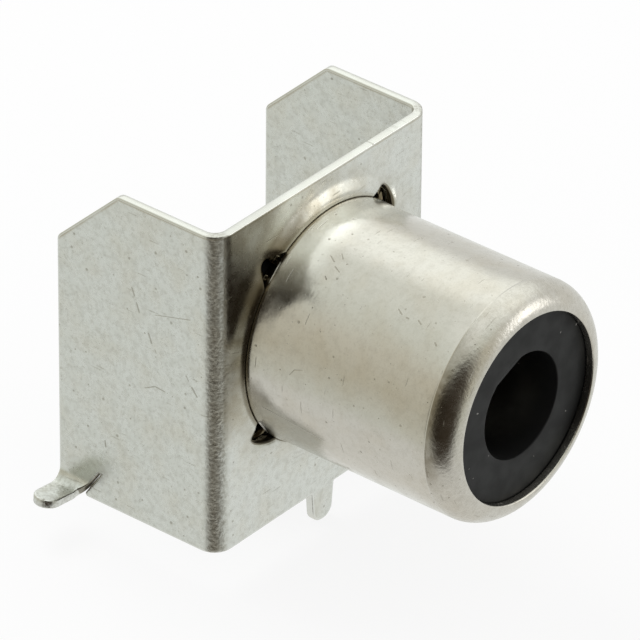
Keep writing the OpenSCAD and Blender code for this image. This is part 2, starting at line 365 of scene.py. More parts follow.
def lip_drop(flat):
    """Backward curl of the plate's outer face at the opening's edge, deeper round the notches."""
    drop = np.zeros(len(flat))
    offset = flat - (0, AXIS_H)
    near = np.hypot(offset[:, 0], offset[:, 1]) < OPENING_R + NOTCH_DEPTH + 3 * LIP_CURL_W
    gap = np.linalg.norm(flat[near, None] - opening_outline()[None], axis=2).min(axis=1)
    deeper = 1 + LIP_NOTCH_GAIN * notch_share(np.arctan2(offset[near, 1], offset[near, 0]))
    share = np.clip(1 - gap / (LIP_CURL_W * deeper), 0, 1)
    drop[near] = LIP_CURL * deeper * share * share
    return drop


def fold_u(y):
    """Distance round the folded sheet from its middle to a place on a side plate."""
    return HALF_FLAT + BEND_ARC + y - BEND_R


def lance_y(z):
    """Rear side of the lanced cut in a side plate."""
    return PLATE_D - SIDE_LEG_W - LANCE_RUN / LANCE_H * z


def bracket_outline():
    """Edge of the unfolded bracket, for its right half and then mirrored."""
    bend_arc = (SIDE_LEG_BEND_R + SHEET_T / 2) * (math.pi / 2 + SIDE_LEG_TILT)
    bend_end_x = LEG_BEND_Z * (1 + math.sin(SIDE_LEG_TILT))
    reach = bracket_high.x - (PLATE_W / 2 - SHEET_T) - bend_end_x
    tip_v = LEG_BEND_Z - bend_arc - reach / math.cos(SIDE_LEG_TILT)
    neck_v = LEG_BEND_Z - 0.75 * bend_arc
    rear, tongue = fold_u(PLATE_D), fold_u(PLATE_D - SIDE_LEG_W)
    leg_tip_z = bracket_low.z
    right = [
        (FRONT_LEG_TIP_W / 2, leg_tip_z, FRONT_LEG_TIP_W / 2 - 0.01),
        (FRONT_LEG_W / 2, 0, 0.04),
        (fold_u(lance_y(0) - LANCE_W), 0, 0.1),
        (fold_u(lance_y(LANCE_H) - LANCE_W), LANCE_H, 0),
        (fold_u(lance_y(LANCE_H)), LANCE_H, 0),
        (fold_u(lance_y(LEG_BEND_Z)), LEG_BEND_Z, 0.1),
        (tongue, neck_v, 0.2),
        (tongue, tip_v, SIDE_LEG_W / 2 - 0.01),
        (rear, tip_v, SIDE_LEG_W / 2 - 0.01),
        (rear, PLATE_H - CORNER_CUT_H, CORNER_R),
        (fold_u(PLATE_D - CORNER_CUT_D), PLATE_H, CORNER_R),
    ]
    left = [(-u, v, r) for u, v, r in reversed(right)]
    corners = np.array(right + left)
    return rounded(corners[:, :2], corners[:, 2])


def bracket_seeds():
    """Inner points of the unfolded bracket: its bends, its collar and a wide grid."""
    bend = np.linspace(-0.05, BEND_ARC + 0.05, 15) + HALF_FLAT
    parts = [grid(side * bend, np.arange(0.1, PLATE_H, 0.25)) for side in (-1, 1)]
    turns = np.linspace(0, 2 * math.pi, RING_POINTS, endpoint=False)
    for reach in np.linspace(0, 1, 13):
        notch = NOTCH_DEPTH * notch_share(turns) * (1 - reach)
        radius = OPENING_R + 0.1 + notch + reach * SWELL_W
        parts.append(np.stack([radius * np.cos(turns), AXIS_H + radius * np.sin(turns)], axis=1))
    leg_u = np.arange(fold_u(lance_y(LANCE_H)), fold_u(PLATE_D), 0.1)
    for side in (-1, 1):
        parts.append(grid(side * leg_u, np.arange(-0.2, LEG_BEND_Z + 0.05, 0.04)))
    margin = 0.2
    away = grid(np.arange(-12, 12, WIDE_STEP), np.arange(-1.6, PLATE_H, WIDE_STEP))
    off_collar = np.hypot(away[:, 0], away[:, 1] - AXIS_H) > OPENING_R + SWELL_W + margin
    in_bend = np.abs(np.abs(away[:, 0]) - HALF_FLAT - BEND_ARC / 2) < BEND_ARC / 2 + margin
    parts.append(away[off_collar & ~in_bend & (away[:, 1] > LEG_BEND_Z + margin)])
    return np.concatenate(parts)


def turned_leg(z, depth):
    """Distance out and height of points on a side leg, which bends outwards below its plate."""
    bend = SIDE_LEG_BEND_R + SHEET_T / 2
    full_swing = math.pi / 2 + SIDE_LEG_TILT
    down = LEG_BEND_Z - z
    swing = np.clip(down / bend, 0, full_swing)
    along = np.maximum(down - bend * full_swing, 0)
    radius = SIDE_LEG_BEND_R + depth
    out = PLATE_W / 2 + SIDE_LEG_BEND_R - radius * np.cos(swing) + along * np.sin(swing)
    return out, LEG_BEND_Z - radius * np.sin(swing) - along * np.cos(swing)


def place_bracket(flat, depth):
    """Folds the bracket: two upright bends, a raised collar and two turned-out legs."""
    u, z = flat[:, 0], flat[:, 1]
    side = np.sign(u)
    turn = np.clip((np.abs(u) - HALF_FLAT) / BEND_R, 0, math.pi / 2)
    past = np.maximum(np.abs(u) - HALF_FLAT - BEND_ARC, 0)
    out = np.minimum(np.abs(u), HALF_FLAT) + (BEND_R - depth) * np.sin(turn)
    y = BEND_R - (BEND_R - depth) * np.cos(turn) + past
    y += lip_drop(flat) * (1 - depth / SHEET_T) - swell(np.hypot(u, z - AXIS_H))
    slack = lance_y(np.clip(z, 0, LANCE_H)) - LANCE_W / 2
    in_leg = (z < LEG_BEND_Z) & (past > 0) & (y > slack)
    leg_out, leg_z = turned_leg(z, depth)
    return np.stack([side * np.where(in_leg, leg_out, out), y, np.where(in_leg, leg_z, z)], axis=1)


def bracket_mesh():
    """The folded sheet, whose cut edges are painted lighter as a highlight but painted dark as shade round
    the opening and in the lanced cuts.
    """
    loops = [subdivided(bracket_outline(), OUTLINE_STEP), opening_outline()]
    points, faces, uv, edge = sheet_metal(loops, bracket_seeds(), place_bracket, SHEET_T)
    ends = np.cumsum([len(face) for face in faces])
    u, v = uv[ends - 1].T
    # Cut walls round the opening and in the lanced cuts are marked -1, for painted shade
    in_opening = np.hypot(u, v - AXIS_H) < OPENING_R + NOTCH_DEPTH + 2 * EDGE_R
    from_cut = np.abs(np.abs(u) - fold_u(lance_y(v) - LANCE_W / 2))
    in_cut = (from_cut < LANCE_W / 2 + 2 * EDGE_R) & (v > 2 * EDGE_R) & (v < LANCE_H + 2 * EDGE_R)
    return points, faces, uv, np.where(in_opening | in_cut, -np.array(edge), edge)


def revolved(section_at, turns, whole=True):
    """Closed mesh of a section swept round the barrel's axis: points, faces, places, edge marks.

    section_at(turn) gives the section's radii and heights in front of the plate."""
    sections = [np.array(section_at(turn)) for turn in turns]
    count, width = len(turns), len(sections[0])
    points = []
    for turn, section in zip(turns, sections):
        for radius, height in section:
            points.append((radius * math.cos(turn), -height, AXIS_H + radius * math.sin(turn)))
    along = [np.concatenate([[0], np.cumsum(np.linalg.norm(np.diff(s, axis=0), axis=1))]) for s in sections]
    faces, uv = [], []
    step = turns[1] - turns[0]
    for i in range(count if whole else count - 1):
        j = (i + 1) % count
        near, far = BARREL_R * turns[i], BARREL_R * (turns[i] + step)
        for k in range(width):
            m = (k + 1) % width
            faces.append((i * width + k, i * width + m, j * width + m, j * width + k))
            end = along[i][m] if m else along[i][k] + OUTLINE_STEP
            uv += [(near, along[i][k]), (near, end), (far, end), (far, along[i][k])]
    if not whole:
        for first in (0, (count - 1) * width):
            faces.append(tuple(range(first, first + width)))
            uv += [(BARREL_R * turns[0], height) for _, height in sections[0]]
    return points, faces, uv, [0.0] * len(faces)


def joined(*meshes):
    """Several meshes as one."""
    points, faces, uv, edge = [], [], [], []
    for more_points, more_faces, more_uv, more_edge in meshes:
        start = len(points)
        points += list(more_points)
        faces += [tuple(start + k for k in face) for face in more_faces]
        uv += list(more_uv)
        edge += more_edge
    return points, faces, uv, edge


def barrel_section():
    """Section of the barrel: neck, bead, straight wall, rolled rim, lip and bore."""
    bead_h = COLLAR_RISE + SEAT_GAP
    bead_back_h = bead_h - LIP_CURL
    rim = (RIM_CENTRE_R, RIM_CENTRE_H)
    lip_turn = math.acos((LIP_R - RIM_CENTRE_R) / RIM_R)
    lip_back_turn = math.acos((LIP_R - RIM_CENTRE_R) / (RIM_R - BARREL_WALL))
    shares = np.linspace(1, 0, 12)
    flare = [(BARREL_R + FLARE * s * s, FLARE_H - s * (FLARE_H - bead_h - 0.05), 0) for s in shares]
    straight = [(BARREL_R, h, 0) for h in np.linspace(FLARE_H + 0.3, RIM_CENTRE_H - 0.06, 10)]
    crease = [(BARREL_R - RIM_CREASE, RIM_CENTRE_H, 0.05), (BARREL_R, RIM_CENTRE_H + 0.05, 0.02)]
    nose = [(r, h, 0) for r, h in arc(rim, RIM_R, 0.1, lip_turn - 0.11, 26)]
    back = [(r, h, 0) for r, h in arc(rim, RIM_R - BARREL_WALL, lip_back_turn - 0.15, 0, 16)]
    corners = (
        [(BORE_R, -SHEET_T / 2, 0), (NECK_R, -SHEET_T / 2, 0), (NECK_R, bead_back_h, 0)]
        + [(BARREL_R + BEAD_LIP, bead_back_h, 0.02), (BARREL_R + FLARE, bead_h, 0.04)]
        + flare
        + straight
        + crease
        + nose
        + [(LIP_R, RIM_CENTRE_H + RIM_R * math.sin(lip_turn), 0.05)]
        + [(LIP_R, RIM_CENTRE_H + (RIM_R - BARREL_WALL) * math.sin(lip_back_turn), 0.03)]
        + back
    )
    corners = np.array(corners)
    return rounded(corners[:, :2], corners[:, 2])


def tab_section():
    """Section of a tab that is turned out behind the front plate."""
    spread = np.linspace(OPENING_R, TAB_R, 8)
    front = [(r, rise(r) - SHEET_T - SEAT_GAP, 0) for r in spread]
    back = [(r, rise(r) - SHEET_T - SEAT_GAP - BARREL_WALL, 0) for r in spread[::-1]]
    corners = [(BORE_R, 0, 0), (NECK_R, 0, 0), (NECK_R, COLLAR_RISE - SHEET_T - SEAT_GAP, 0)]
    corners += front + back + [(BORE_R, back[-1][1], 0.2)]
    corners = np.array(corners)
    return rounded(corners[:, :2], corners[:, 2])


def barrel_mesh():
    """The whole ring of the barrel, and a tab between each notch and the next."""
    ring = barrel_section()
    tab = tab_section()
    half_gap = TAB_HALF_GAP / OPENING_R
    meshes = [revolved(lambda turn: ring, np.linspace(0, 2 * math.pi, RING_POINTS, endpoint=False))]
    for turn, ahead in zip(NOTCH_TURNS, NOTCH_TURNS[1:] + [NOTCH_TURNS[0] + 2 * math.pi]):
        spans = np.linspace(turn + half_gap, ahead - half_gap, 40)
        meshes.append(revolved(lambda turn: tab, spans, whole=False))
    return joined(*meshes)


def insulator_section(turn):
    """Section of the insulator in one direction: hub, flange, body, face and plug hole."""
    flange_front = rise(TAB_R) - SHEET_T - BARREL_WALL - 2 * SEAT_GAP
    flange_back = flange_front - FLANGE_T
    hub_back = flange_back - HUB_LEN
    flange_r = min(FLANGE_R, FLANGE_HALF_FLATS / max(abs(math.sin(turn)), 1e-6))
    ledge_cos = math.cos(turn - LEDGE_TURN)
    ledge_r = min(PLUG_HOLE_R, LEDGE_EDGE / ledge_cos) if ledge_cos > 0.5 else PLUG_HOLE_R
    seat_r = SLEEVE_R + SEAT_GAP
    body_r = BORE_R - SEAT_GAP
    nose_r = RIM_R - BARREL_WALL - SEAT_GAP
    seat_front = SLEEVE_FRONT_H + SEAT_GAP
    nose = [(r, h, 0) for r, h in arc((RIM_CENTRE_R, RIM_CENTRE_H), nose_r, 0, math.pi / 2, 14)]
    corners = (
        [(seat_r, hub_back, 0.06), (HUB_R, hub_back, 0.12), (HUB_R, flange_back, 0.05)]
        + [(flange_r, flange_back, 0.1), (flange_r, flange_front, 0.1), (body_r, flange_front, 0)]
        + nose
        + [(PLUG_HOLE_R + 0.3, FACE_H, 0), (PLUG_HOLE_R, FACE_H, 0.04)]
        + [(PLUG_HOLE_R, FACE_H - LEDGE_DEPTH, 0), (ledge_r, FACE_H - LEDGE_DEPTH, 0)]
        + [(ledge_r, seat_front, 0), (seat_r, seat_front, 0)]
    )
    corners = np.array(corners)
    return rounded(corners[:, :2], corners[:, 2])


def insulator_mesh():
    """The moulding, with a point every degree, so that its flats and its ledge come out sharp."""
    return revolved(insulator_section, np.linspace(0, 2 * math.pi, 360, endpoint=False))


def contact_outline():
    """Edge of the unrolled contact: a sleeve with finger slots, and its tail."""
    half = math.pi * SLEEVE_MID_R - SEAM_W / 2
    slot = math.pi / 2 * SLEEVE_MID_R
    front = SLEEVE_FRONT_H
    back = front - SLEEVE_LEN
    slot_back = front - FINGER_SLOT_LEN
    bend_length = (TAIL_BEND_R + STRIP_T / 2) * math.pi / 2
    tail_drop = AXIS_H - SLEEVE_R - TAIL_BEND_R - contact_low.z
    tip = TAIL_BEND_V - bend_length - tail_drop
    taper = tip + TAIL_W - contact_low.z
    half_slot = FINGER_SLOT_W / 2
    right = [
        (TAIL_TIP_W / 2, tip, TAIL_TIP_W / 2 - 0.01),
        (TAIL_W / 2, taper, 0.1),
        (TAIL_W / 2, back, 0.15),
        (half, back, 0.1),
        (half, front, 0.1),
        (slot + half_slot, front, 0.1),
        (slot + half_slot, slot_back, half_slot - 0.01),
        (slot - half_slot, slot_back, half_slot - 0.01),
        (slot - half_slot, front, 0.1),
    ]
    left = [(-u, v, r) for u, v, r in reversed(right)]
    corners = np.array(right + left)
    return rounded(corners[:, :2], corners[:, 2])


def place_contact(flat, depth):
    """Rolls the sleeve, flattens the tail behind it and turns the tail down."""
    u, v = flat[:, 0], flat[:, 1]
    back = SLEEVE_FRONT_H - SLEEVE_LEN
    ease = np.clip((v - back + SLEEVE_EASE_LEN) / SLEEVE_EASE_LEN, 0, 1)
    least_roll = 1e-3
    radius = SLEEVE_MID_R / np.maximum(ease * ease * (3 - 2 * ease), least_roll)
    out = STRIP_T / 2 - depth
    x = (radius + out) * np.sin(u / radius)
    z = AXIS_H - SLEEVE_MID_R + radius - (radius + out) * np.cos(u / radius)
    bend = TAIL_BEND_R + STRIP_T / 2
    down = np.maximum(TAIL_BEND_V - v, 0)
    swing = np.minimum(down / bend, math.pi / 2)
    along = np.maximum(down - bend * math.pi / 2, 0)
    turned = v < TAIL_BEND_V
    bend_y = -TAIL_BEND_V + (TAIL_BEND_R + depth) * np.sin(swing)
    bend_z = AXIS_H - SLEEVE_R - TAIL_BEND_R + (TAIL_BEND_R + depth) * np.cos(swing) - along
    return np.stack([x, np.where(turned, bend_y, -v), np.where(turned, bend_z, z)], axis=1)


def contact_mesh():
    """The rolled strip, with more points where it rolls and where its tail bends."""
    half = math.pi * SLEEVE_MID_R
    seeds = np.concatenate([
        grid(np.arange(-half, half, 0.15), np.arange(-0.5, SLEEVE_FRONT_H, 0.3)),
        grid(np.linspace(-0.5, 0.5, 6), np.arange(TAIL_BEND_V - 0.8, TAIL_BEND_V + 0.1, 0.06)),
    ])
    loops = [subdivided(contact_outline(), STRIP_STEP)]
    return sheet_metal(loops, seeds, place_contact, STRIP_T)


# Point on the barrel's axis, and directions away from it, as the photograph shows the part
AXIS = (0, 0, AXIS_H)
LEFT_OF_AXIS = (-0.94, 0, 0.34)
UPPER_LEFT = (-0.8, 0, 0.6)
AT_UPPER_NOTCH = (-0.66, 0, 0.75)

# Film, painted dark and a painted highlight on the barrel: where each starts to fade in or out and where
# that ends, in millimetres along the part's Y, outwards from the axis or upwards
RIM_PAINTED_DARK_Y = (-RIM_CENTRE_H - 0.75, -RIM_CENTRE_H - 0.2)
RIM_PAINTED_DARK_END_Y = (-RIM_CENTRE_H - 0.06, -RIM_CENTRE_H)
RIM_PAINTED_DARK_OUT = (2.8, 4.1)
ROOT_FILM_Y = (-0.8, -0.3)
PAINTED_HIGHLIGHT_Y = (-1.9, -1.0)
PAINTED_HIGHLIGHT_UP = (3.1, 3.6)
WITHIN_PLATE_Y = (-0.15, 0.0)

# Brown film and painted shade on the bracket, in the same way, with those that follow the unfolded sheet as
# well
FRONT_FACE_Y = (0.1, 0.3)
COLLAR_FILM_AND_SHADE_R = (OPENING_R + 0.2, OPENING_R + 1.5)
COLLAR_PAINTED_SHADE_OUT = (0.0, 3.6)
TOP_FILM_W = (0.06, 0.17)
BEND_FILM_MIDDLE = HALF_FLAT + 0.9 * BEND_R
BEND_FILM_HALF_W = 0.3
CORNER_SHADE_OUT = (3.3, 4.7)
CORNER_SHADE_END = (HALF_FLAT + 0.26, HALF_FLAT + 0.4)
CORNER_SHADE_X = (-1.0, 0.0)
NOTCH_SHADE_R = (OPENING_R + 0.25, OPENING_R + 0.95)
NOTCH_SHADE_OUT = (3.95, 4.35)

# Specks and scratches: how softly they end, and the scratches' size and spacing
SPECK_FADE = 0.04
SCRATCH_SIZE = 0.14
SCRATCH_ALONG = 0.5
SCRATCH_ACROSS = 7

# Heights of the plating's relief, in millimetres
WAVE_HEIGHT = 0.05
PEBBLE_HEIGHT = 0.035
MOTTLE_HEIGHT = 0.006
FINE_HEIGHT = 0.003
FLAW_DEPTH = 0.005

# Colours: the brown film, also used as painted shade round the collar, the painted dark shade, and the
# painted highlights on the barrel's root and on cut edges
STAIN_AND_PAINTED_SHADE = (0.34, 0.295, 0.2)
PAINTED_DARK_BROWN = (0.12, 0.093, 0.05)
PAINTED_HIGHLIGHT_TIN = (0.9, 0.88, 0.82)
PAINTED_EDGE_HIGHLIGHT = (0.68, 0.68, 0.65)

# Each finish: its own colour, its dark one and its warm one
TIN_DARK = (0.2, 0.175, 0.13)
SHEET_TIN = [(0.64, 0.65, 0.615), TIN_DARK, (0.6, 0.585, 0.52)]
BARREL_TIN = [(0.57, 0.545, 0.495), TIN_DARK, (0.53, 0.49, 0.42)]
CONTACT_TIN = [(0.62, 0.56, 0.42), (0.2, 0.16, 0.1), (0.58, 0.5, 0.34)]
BLACK = (0.008, 0.008, 0.008)
PALE_FLECK = (0.3, 0.29, 0.27)


def make_node(tree, kind, inputs=None, **settings):
    """Adds a shader node; an input is a value or another node's output socket."""
    node = tree.nodes.new(kind)
    for name, value in settings.items():
        setattr(node, name, value)
    for name, value in (inputs or {}).items():
        if isinstance(value, bpy.types.NodeSocket):
            tree.links.new(value, node.inputs[name])
        else:
            node.inputs[name].default_value = value
    return node


def maths(tree, operation, first, second=0.0, third=0.0):
    """Number made from up to three numbers."""
    node = make_node(tree, "ShaderNodeMath", {0: first, 1: second, 2: third}, operation=operation)
    return node.outputs[0]


def product(tree, first, *others):
    """Several shares multiplied together."""
    for other in others:
        first = maths(tree, "MULTIPLY", first, other)
    return first


def vector_node(tree, operation, first, second):
    """Vector maths node for one or two vectors."""
    return make_node(tree, "ShaderNodeVectorMath", {0: first, 1: second}, operation=operation)


def vector(tree, operation, first, second=(0, 0, 0)):
    """Vector made from one or two vectors."""
    return vector_node(tree, operation, first, second).outputs["Vector"]


def measure(tree, operation, first, second=(0, 0, 0)):
    """Number made from one or two vectors, such as a length or how far one lies along the other."""
    return vector_node(tree, operation, first, second).outputs["Value"]


def coordinate(tree, place, axis):
    """One coordinate of a place."""
    return make_node(tree, "ShaderNodeSeparateXYZ", {0: place}).outputs[axis]


def ramp(tree, value, low, high, to_low=0.0, to_high=1.0):
    """Smooth change from one value to another as an input passes through a range."""
    ends = {0: value, 1: low, 2: high, 3: to_low, 4: to_high}
    node = make_node(tree, "ShaderNodeMapRange", ends, interpolation_type="SMOOTHSTEP")
    return node.outputs[0]


def tint(tree, share, first, second):
    """Mixes two colours by a share."""
    node = make_node(tree, "ShaderNodeMix", {0: share}, data_type="RGBA")
    for index, value in ((6, first), (7, second)):
        if isinstance(value, bpy.types.NodeSocket):
            tree.links.new(value, node.inputs[index])
        else:
            node.inputs[index].default_value = (*value, 1)
    return node.outputs[2]


def layered(tree, base, layers):
    """Colour under a list of layers, each with its share and its own colour."""
    for share, colour in layers:
        base = tint(tree, share, base, colour)
    return base


def noise(tree, place, scale, detail=2.0):
    """Soft noise with values round a half."""
    inputs = {"Vector": place, "Scale": scale, "Detail": detail}
    return make_node(tree, "ShaderNodeTexNoise", inputs).outputs["Fac"]


def specks(tree, place, scale, size, share):
    """Small marks scattered over a surface: 1 within a mark and 0 elsewhere."""
    inputs = {"Vector": place, "Scale": scale}
    cells = make_node(tree, "ShaderNodeTexVoronoi", inputs, voronoi_dimensions="2D")
    chosen = make_node(tree, "ShaderNodeSeparateColor", {0: cells.outputs["Color"]})
    present = maths(tree, "LESS_THAN", chosen.outputs[0], share)
    reach = maths(tree, "MULTIPLY", chosen.outputs[1], size)
    past = maths(tree, "SUBTRACT", cells.outputs["Distance"], reach)
    return product(tree, ramp(tree, past, 0.0, SPECK_FADE, 1.0, 0.0), present)


def scratches(tree, place, turn, density, share):
    """Fine straight scratches in one direction over the unfolded surface."""
    inputs = {0: place, 2: (0, 0, turn), 3: (SCRATCH_ALONG * density, SCRATCH_ACROSS * density, 1)}
    turned = make_node(tree, "ShaderNodeMapping", inputs).outputs[0]
    return specks(tree, turned, 1.0, SCRATCH_SIZE, share)


def distance_to_line(tree, space, start, end):
    """Distance from the nearest point of a straight line between two points."""
    along = Vector(end) - Vector(start)
    offset = vector(tree, "SUBTRACT", space, start)
    part = measure(tree, "DOT_PRODUCT", offset, tuple(along / along.length_squared))
    part = make_node(tree, "ShaderNodeClamp", {0: part}).outputs[0]
    inputs = {0: tuple(along), "Scale": part}
    near = make_node(tree, "ShaderNodeVectorMath", inputs, operation="SCALE").outputs["Vector"]
    return measure(tree, "DISTANCE", offset, near)


def marks(tree, space, lines):
    """Single marks from point to point on the surface: 1 within them and 0 elsewhere."""
    rough_edge = noise(tree, space, 9.0)
    total = None
    for start, end, width in lines:
        gap = distance_to_line(tree, space, start, end)
        gap = maths(tree, "MULTIPLY_ADD", rough_edge, 1.6 * width, gap)
        here = ramp(tree, gap, 1.3 * width, 2.2 * width, 1.0, 0.0)
        total = here if total is None else maths(tree, "MAXIMUM", total, here)
    return total


def start_material(name):
    """New material with its shader, the place on the unfolded surface and the place in space."""
    material = bpy.data.materials.new(name)
    material.use_nodes = True
    tree = material.node_tree
    uv = make_node(tree, "ShaderNodeUVMap", uv_map="flat").outputs[0]
    across = make_node(tree, "ShaderNodeTexCoord").outputs["Object"]
    space = make_node(tree, "ShaderNodeMapping", {0: across, 3: (1 / MM, 1 / MM, 1 / MM)}).outputs[0]
    return material, tree, tree.nodes["Principled BSDF"], uv, space


def plating_flaws(tree, uv, space, lines):
    """Shares of the pits and dust, of the fine scratches and of the single marks."""
    pits = specks(tree, uv, 1.7, 0.07, 0.3)
    dust = specks(tree, uv, 4.2, 0.1, 0.2)
    spots = maths(tree, "MAXIMUM", pits, maths(tree, "MULTIPLY", dust, 0.5))
    rising, falling = scratches(tree, uv, 0.6, 1.0, 0.08), scratches(tree, uv, -1.0, 1.3, 0.06)
    return spots, maths(tree, "MAXIMUM", rising, falling), marks(tree, space, lines)


def edge_layers(tree):
    """The edge marks and their layers: a painted highlight on cut edges, painted dark shade on those in the
    opening and the lanced cuts.
    """
    edge = make_node(tree, "ShaderNodeAttribute", attribute_name="edge").outputs["Fac"]
    # Painted highlight on cut edges, and painted shade on those in the opening and the lanced cuts
    edge_highlight = ramp(tree, edge, 0.0, 1.0, 0.0, 0.75)
    edge_shade = ramp(tree, edge, -1.0, 0.0, 0.65, 0.0)
    return edge, [(edge_highlight, PAINTED_EDGE_HIGHLIGHT), (edge_shade, PAINTED_DARK_BROWN)]


def plating_roughness(tree, space, roughness, flaws, fine, edge):
    """Uneven roughness, raised by flaws and fine grain, lowered on cut edges and raised on those marked for
    shade.
    """
    uneven = noise(tree, space, 2.2, 3.0)
    rough = ramp(tree, uneven, 0.3, 0.7, roughness - 0.04, roughness + 0.05)
    for cause, gain in ((flaws, 0.15), (fine, 0.08), (edge, -0.08)):
        rough = maths(tree, "MULTIPLY_ADD", cause, gain, rough)
    return rough


def plating_height(tree, space, grain, mottle, fine):
    """Height of the plating's fine grain, slow waves and mottle, in millimetres."""
    waves = noise(tree, space, 0.45, 1.0)
    height = product(tree, fine, FINE_HEIGHT * grain)
    for cause, gain in ((waves, WAVE_HEIGHT), (mottle, MOTTLE_HEIGHT * grain)):
        height = maths(tree, "MULTIPLY_ADD", cause, gain, height)
    return height


def plated_metal(name, colours, roughness, grain, lines, films_and_painted_light=None, coarse=None):
    """Bright plating with mottle, specks, scratches, single marks and a faint warm cast.

    colours are its own, its dark and its warm one. The argument after lines gives the layers of film,
    painted shade and painted highlight on it, and coarse the share by which its grain is raised, both from
    places in space."""
    material, tree, shader, uv, space = start_material(name)
    own, dark, warm = colours
    blotch = noise(tree, space, 0.9, 3.0)
    mottle = noise(tree, space, 4.5, 3.0)
    fine = noise(tree, space, 13.0, 3.0)
    spots, fibres, single = plating_flaws(tree, uv, space, lines)
    flaws = maths(tree, "MAXIMUM", maths(tree, "MAXIMUM", spots, fibres), single)
    edge, on_edges = edge_layers(tree)
    layers = [
        (ramp(tree, blotch, 0.4, 0.75, 0.0, 0.6), warm),
        (ramp(tree, mottle, 0.42, 0.7, 0.0, 0.16 * grain), dark),
        (ramp(tree, fine, 0.5, 0.8, 0.0, 0.25 * grain), dark),
    ]
    layers += films_and_painted_light(tree, space, blotch) if films_and_painted_light else []
    layers += on_edges
    shown = ((spots, 0.4), (fibres, 0.22), (single, 0.45))
    layers += [(product(tree, flaw, gain), dark) for flaw, gain in shown]

    rough = plating_roughness(tree, space, roughness, flaws, fine, edge)
    height = plating_height(tree, space, grain, mottle, fine)
    if coarse:
        raised = coarse(tree, space)
        pebbles = noise(tree, space, 9.0, 3.0)
        rough = maths(tree, "MULTIPLY_ADD", raised, 0.18, rough)
        layers.append((product(tree, raised, ramp(tree, pebbles, 0.36, 0.6, 0.5, 0.0)), dark))
        height = maths(tree, "MULTIPLY_ADD", raised, product(tree, pebbles, PEBBLE_HEIGHT), height)
    height = maths(tree, "MULTIPLY_ADD", flaws, -FLAW_DEPTH, height)

    shader.inputs["Metallic"].default_value = 1.0
    tree.links.new(layered(tree, own, layers), shader.inputs["Base Color"])
    tree.links.new(rough, shader.inputs["Roughness"])
    bump = make_node(tree, "ShaderNodeBump", {"Height": height, "Strength": 0.6, "Distance": MM})
    tree.links.new(bump.outputs[0], shader.inputs["Normal"])
    return material


def barrel_film_and_painted_light(tree, space, patches):
    """Layers on the barrel: brown film at its root, painted dark reflection on the left of its rim, a
    painted highlight on top near the root, and painted dark shade within the plate."""
    forward = coordinate(tree, space, "Y")
    offset = vector(tree, "SUBTRACT", space, AXIS)
    # Painted dark reflection on the left of the rolled rim, where it faces the studio's dark side
    rim = product(
        tree,
        ramp(tree, forward, *RIM_PAINTED_DARK_Y, 0.0, 0.75),
        ramp(tree, forward, *RIM_PAINTED_DARK_END_Y, 1.0, 0.0),
        ramp(tree, measure(tree, "DOT_PRODUCT", offset, LEFT_OF_AXIS), *RIM_PAINTED_DARK_OUT),
        ramp(tree, noise(tree, space, 1.8), 0.25, 0.6, 0.6, 1.0),
    )
    root = ramp(tree, forward, *ROOT_FILM_Y, 0.0, 0.15)
    root = product(tree, root, ramp(tree, patches, 0.3, 0.7, 0.4, 1.0))
    # Painted highlight: a lighter tin on top of the barrel near its root
    root_painted_highlight = ramp(tree, forward, *PAINTED_HIGHLIGHT_Y, 0.0, 0.7)
    root_painted_highlight = product(tree, root_painted_highlight, ramp(tree, coordinate(tree, offset, "Z"), *PAINTED_HIGHLIGHT_UP))
    # Painted shade on the parts within and behind the plate, such as the tabs seen through the notches
    hidden = ramp(tree, forward, *WITHIN_PLATE_Y, 0.0, 0.9)
    return [(root, STAIN_AND_PAINTED_SHADE), (rim, PAINTED_DARK_BROWN), (root_painted_highlight, PAINTED_HIGHLIGHT_TIN), (hidden, PAINTED_DARK_BROWN)]


def under_top_edges(tree, out, up):
    """Share of a thin film along the plates' top edges and along the cuts on their corners."""
    lean = math.atan2(CORNER_CUT_H, CORNER_CUT_D)
    from_top = maths(tree, "SUBTRACT", PLATE_H, up)
    past_cut = maths(tree, "SUBTRACT", fold_u(PLATE_D - CORNER_CUT_D), out)
    from_cut = maths(tree, "MULTIPLY", past_cut, math.sin(lean))
    from_cut = maths(tree, "MULTIPLY_ADD", from_top, math.cos(lean), from_cut)
    return ramp(tree, maths(tree, "MINIMUM", from_top, from_cut), *TOP_FILM_W, 0.8, 0.0)


def corner_painted_shade(tree, offset, space, out, patches):
    """Share of the painted dark shade on the front plate between its left bend and the collar."""
    return product(
        tree,
        ramp(tree, measure(tree, "DOT_PRODUCT", offset, LEFT_OF_AXIS), *CORNER_SHADE_OUT),
        ramp(tree, out, *CORNER_SHADE_END, 1.0, 0.0),
        ramp(tree, coordinate(tree, space, "X"), *CORNER_SHADE_X, 1.0, 0.0),
        ramp(tree, patches, 0.3, 0.65, 0.5, 0.7),
    )


